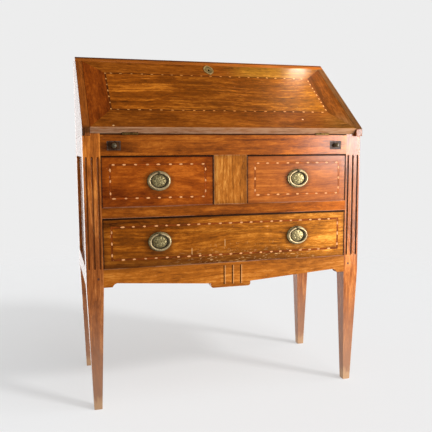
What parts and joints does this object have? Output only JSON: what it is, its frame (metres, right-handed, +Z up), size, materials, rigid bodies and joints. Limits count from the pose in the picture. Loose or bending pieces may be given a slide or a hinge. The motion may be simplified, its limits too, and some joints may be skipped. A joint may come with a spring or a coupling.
{
  "type": "slant-front writing desk",
  "caption": "Slant-front writing desk on tapered legs: hinged fall front carried by pull-out lopers, drawers with ring pulls below, pigeonholes and small drawers inside.",
  "frame": {"origin": "on the floor, under the middle of the desk's bounding box", "axes": "+Z up, +X to the right and -Y to the front for someone who faces the desk; the fall front, lopers and drawers open towards -Y"},
  "size_m": [0.82, 0.412, 1.008],
  "materials": {
    "walnut": "worn shellac varnish",
    "walnut_rails": "worn shellac varnish",
    "walnut_fronts": "polished shellac varnish",
    "stringing": "light and dark inlay under varnish",
    "dark_wood": "oiled, darkened by use",
    "carcass_wood": "bare planed softwood",
    "brass": "aged and rubbed",
    "steel": "dull filed steel"
  },
  "bodies": {
    "carcass": {"front_left_leg": "walnut", "front_right_leg": "walnut", "rear_left_leg": "walnut", "rear_right_leg": "walnut", "left_side_panel": "walnut", "right_side_panel": "walnut", "left_side_rails": "walnut", "right_side_rails": "walnut", "left_gable": "walnut", "right_gable": "walnut", "top_board": "walnut", "lock_rail": "walnut", "back_panel": "carcass_wood", "writing_bed": "walnut", "loper_rail": "walnut_rails", "centre_post": "walnut_fronts", "middle_rail": "walnut_rails", "apron": "walnut_rails", "rear_rail": "carcass_wood", "drawer_runners": "carcass_wood", "loper_housings": "carcass_wood", "joint_pegs": "carcass_wood", "pigeonhole_shelves": "walnut", "pigeonhole_dividers": "walnut", "hinge_bed_leaves": "brass"},
    "fall_front": {"lid_panel": "walnut_fronts", "lid_top_rail": "walnut_rails", "lid_bottom_rail": "walnut_rails", "lid_left_stile": "walnut_rails", "lid_right_stile": "walnut_rails", "lid_inlay": "stringing", "hinge_lid_leaves": "brass", "lid_lock": "steel", "lid_escutcheon": "brass"},
    "lock_bolt": {"lid_lock_bolt": "steel"},
    "left_loper": {"left_loper": "dark_wood", "left_loper_knob": "dark_wood"},
    "right_loper": {"right_loper": "dark_wood", "right_loper_knob": "dark_wood"},
    "upper_left_drawer": {"upper_left_drawer_front": "walnut_fronts", "upper_left_drawer_box": "carcass_wood", "upper_left_drawer_bottom": "carcass_wood", "upper_left_drawer_inlay": "stringing", "upper_left_drawer_handle_plates": "brass"},
    "upper_left_ring": {"upper_left_ring": "brass"},
    "upper_right_drawer": {"upper_right_drawer_front": "walnut_fronts", "upper_right_drawer_box": "carcass_wood", "upper_right_drawer_bottom": "carcass_wood", "upper_right_drawer_inlay": "stringing", "upper_right_drawer_handle_plates": "brass"},
    "upper_right_ring": {"upper_right_ring": "brass"},
    "long_drawer": {"long_drawer_front": "walnut_fronts", "long_drawer_box": "carcass_wood", "long_drawer_bottom": "carcass_wood", "long_drawer_inlay": "stringing", "long_drawer_handle_plates": "brass"},
    "long_left_ring": {"long_left_ring": "brass"},
    "long_right_ring": {"long_right_ring": "brass"},
    "left_small_drawer": {"left_small_drawer": "walnut"},
    "right_small_drawer": {"right_small_drawer": "walnut"}
  },
  "joints": [
    {"name": "fall_front_hinge", "type": "hinge", "parent": "carcass", "child": "fall_front", "pos_m": [0, -0.19, 0.77], "axis": [1, 0, 0], "range_deg": [0, 142.28]},
    {"name": "lock_bolt_slide", "type": "slide", "parent": "fall_front", "child": "lock_bolt", "axis": [0, 0.791, 0.6118], "range_m": [0, 0.008]},
    {"name": "left_loper_slide", "type": "slide", "parent": "carcass", "child": "left_loper", "axis": [0, -1, 0], "range_m": [0, 0.25]},
    {"name": "right_loper_slide", "type": "slide", "parent": "carcass", "child": "right_loper", "axis": [0, -1, 0], "range_m": [0, 0.25]},
    {"name": "upper_left_drawer_slide", "type": "slide", "parent": "carcass", "child": "upper_left_drawer", "axis": [0, -1, 0], "range_m": [0, 0.27]},
    {"name": "upper_left_ring_swing", "type": "hinge", "parent": "upper_left_drawer", "child": "upper_left_ring", "pos_m": [-0.20675, -0.197, 0.6631], "axis": [-1, 0, 0], "range_deg": [0, 85]},
    {"name": "upper_right_drawer_slide", "type": "slide", "parent": "carcass", "child": "upper_right_drawer", "axis": [0, -1, 0], "range_m": [0, 0.27]},
    {"name": "upper_right_ring_swing", "type": "hinge", "parent": "upper_right_drawer", "child": "upper_right_ring", "pos_m": [0.20675, -0.197, 0.6631], "axis": [-1, 0, 0], "range_deg": [0, 85]},
    {"name": "long_drawer_slide", "type": "slide", "parent": "carcass", "child": "long_drawer", "axis": [0, -1, 0], "range_m": [0, 0.27]},
    {"name": "long_left_ring_swing", "type": "hinge", "parent": "long_drawer", "child": "long_left_ring", "pos_m": [-0.20675, -0.197, 0.4936], "axis": [-1, 0, 0], "range_deg": [0, 85]},
    {"name": "long_right_ring_swing", "type": "hinge", "parent": "long_drawer", "child": "long_right_ring", "pos_m": [0.20675, -0.197, 0.4936], "axis": [-1, 0, 0], "range_deg": [0, 85]},
    {"name": "left_small_drawer_slide", "type": "slide", "parent": "carcass", "child": "left_small_drawer", "axis": [0, -1, 0], "range_m": [0, 0.09]},
    {"name": "right_small_drawer_slide", "type": "slide", "parent": "carcass", "child": "right_small_drawer", "axis": [0, -1, 0], "range_m": [0, 0.09]}
  ]
}
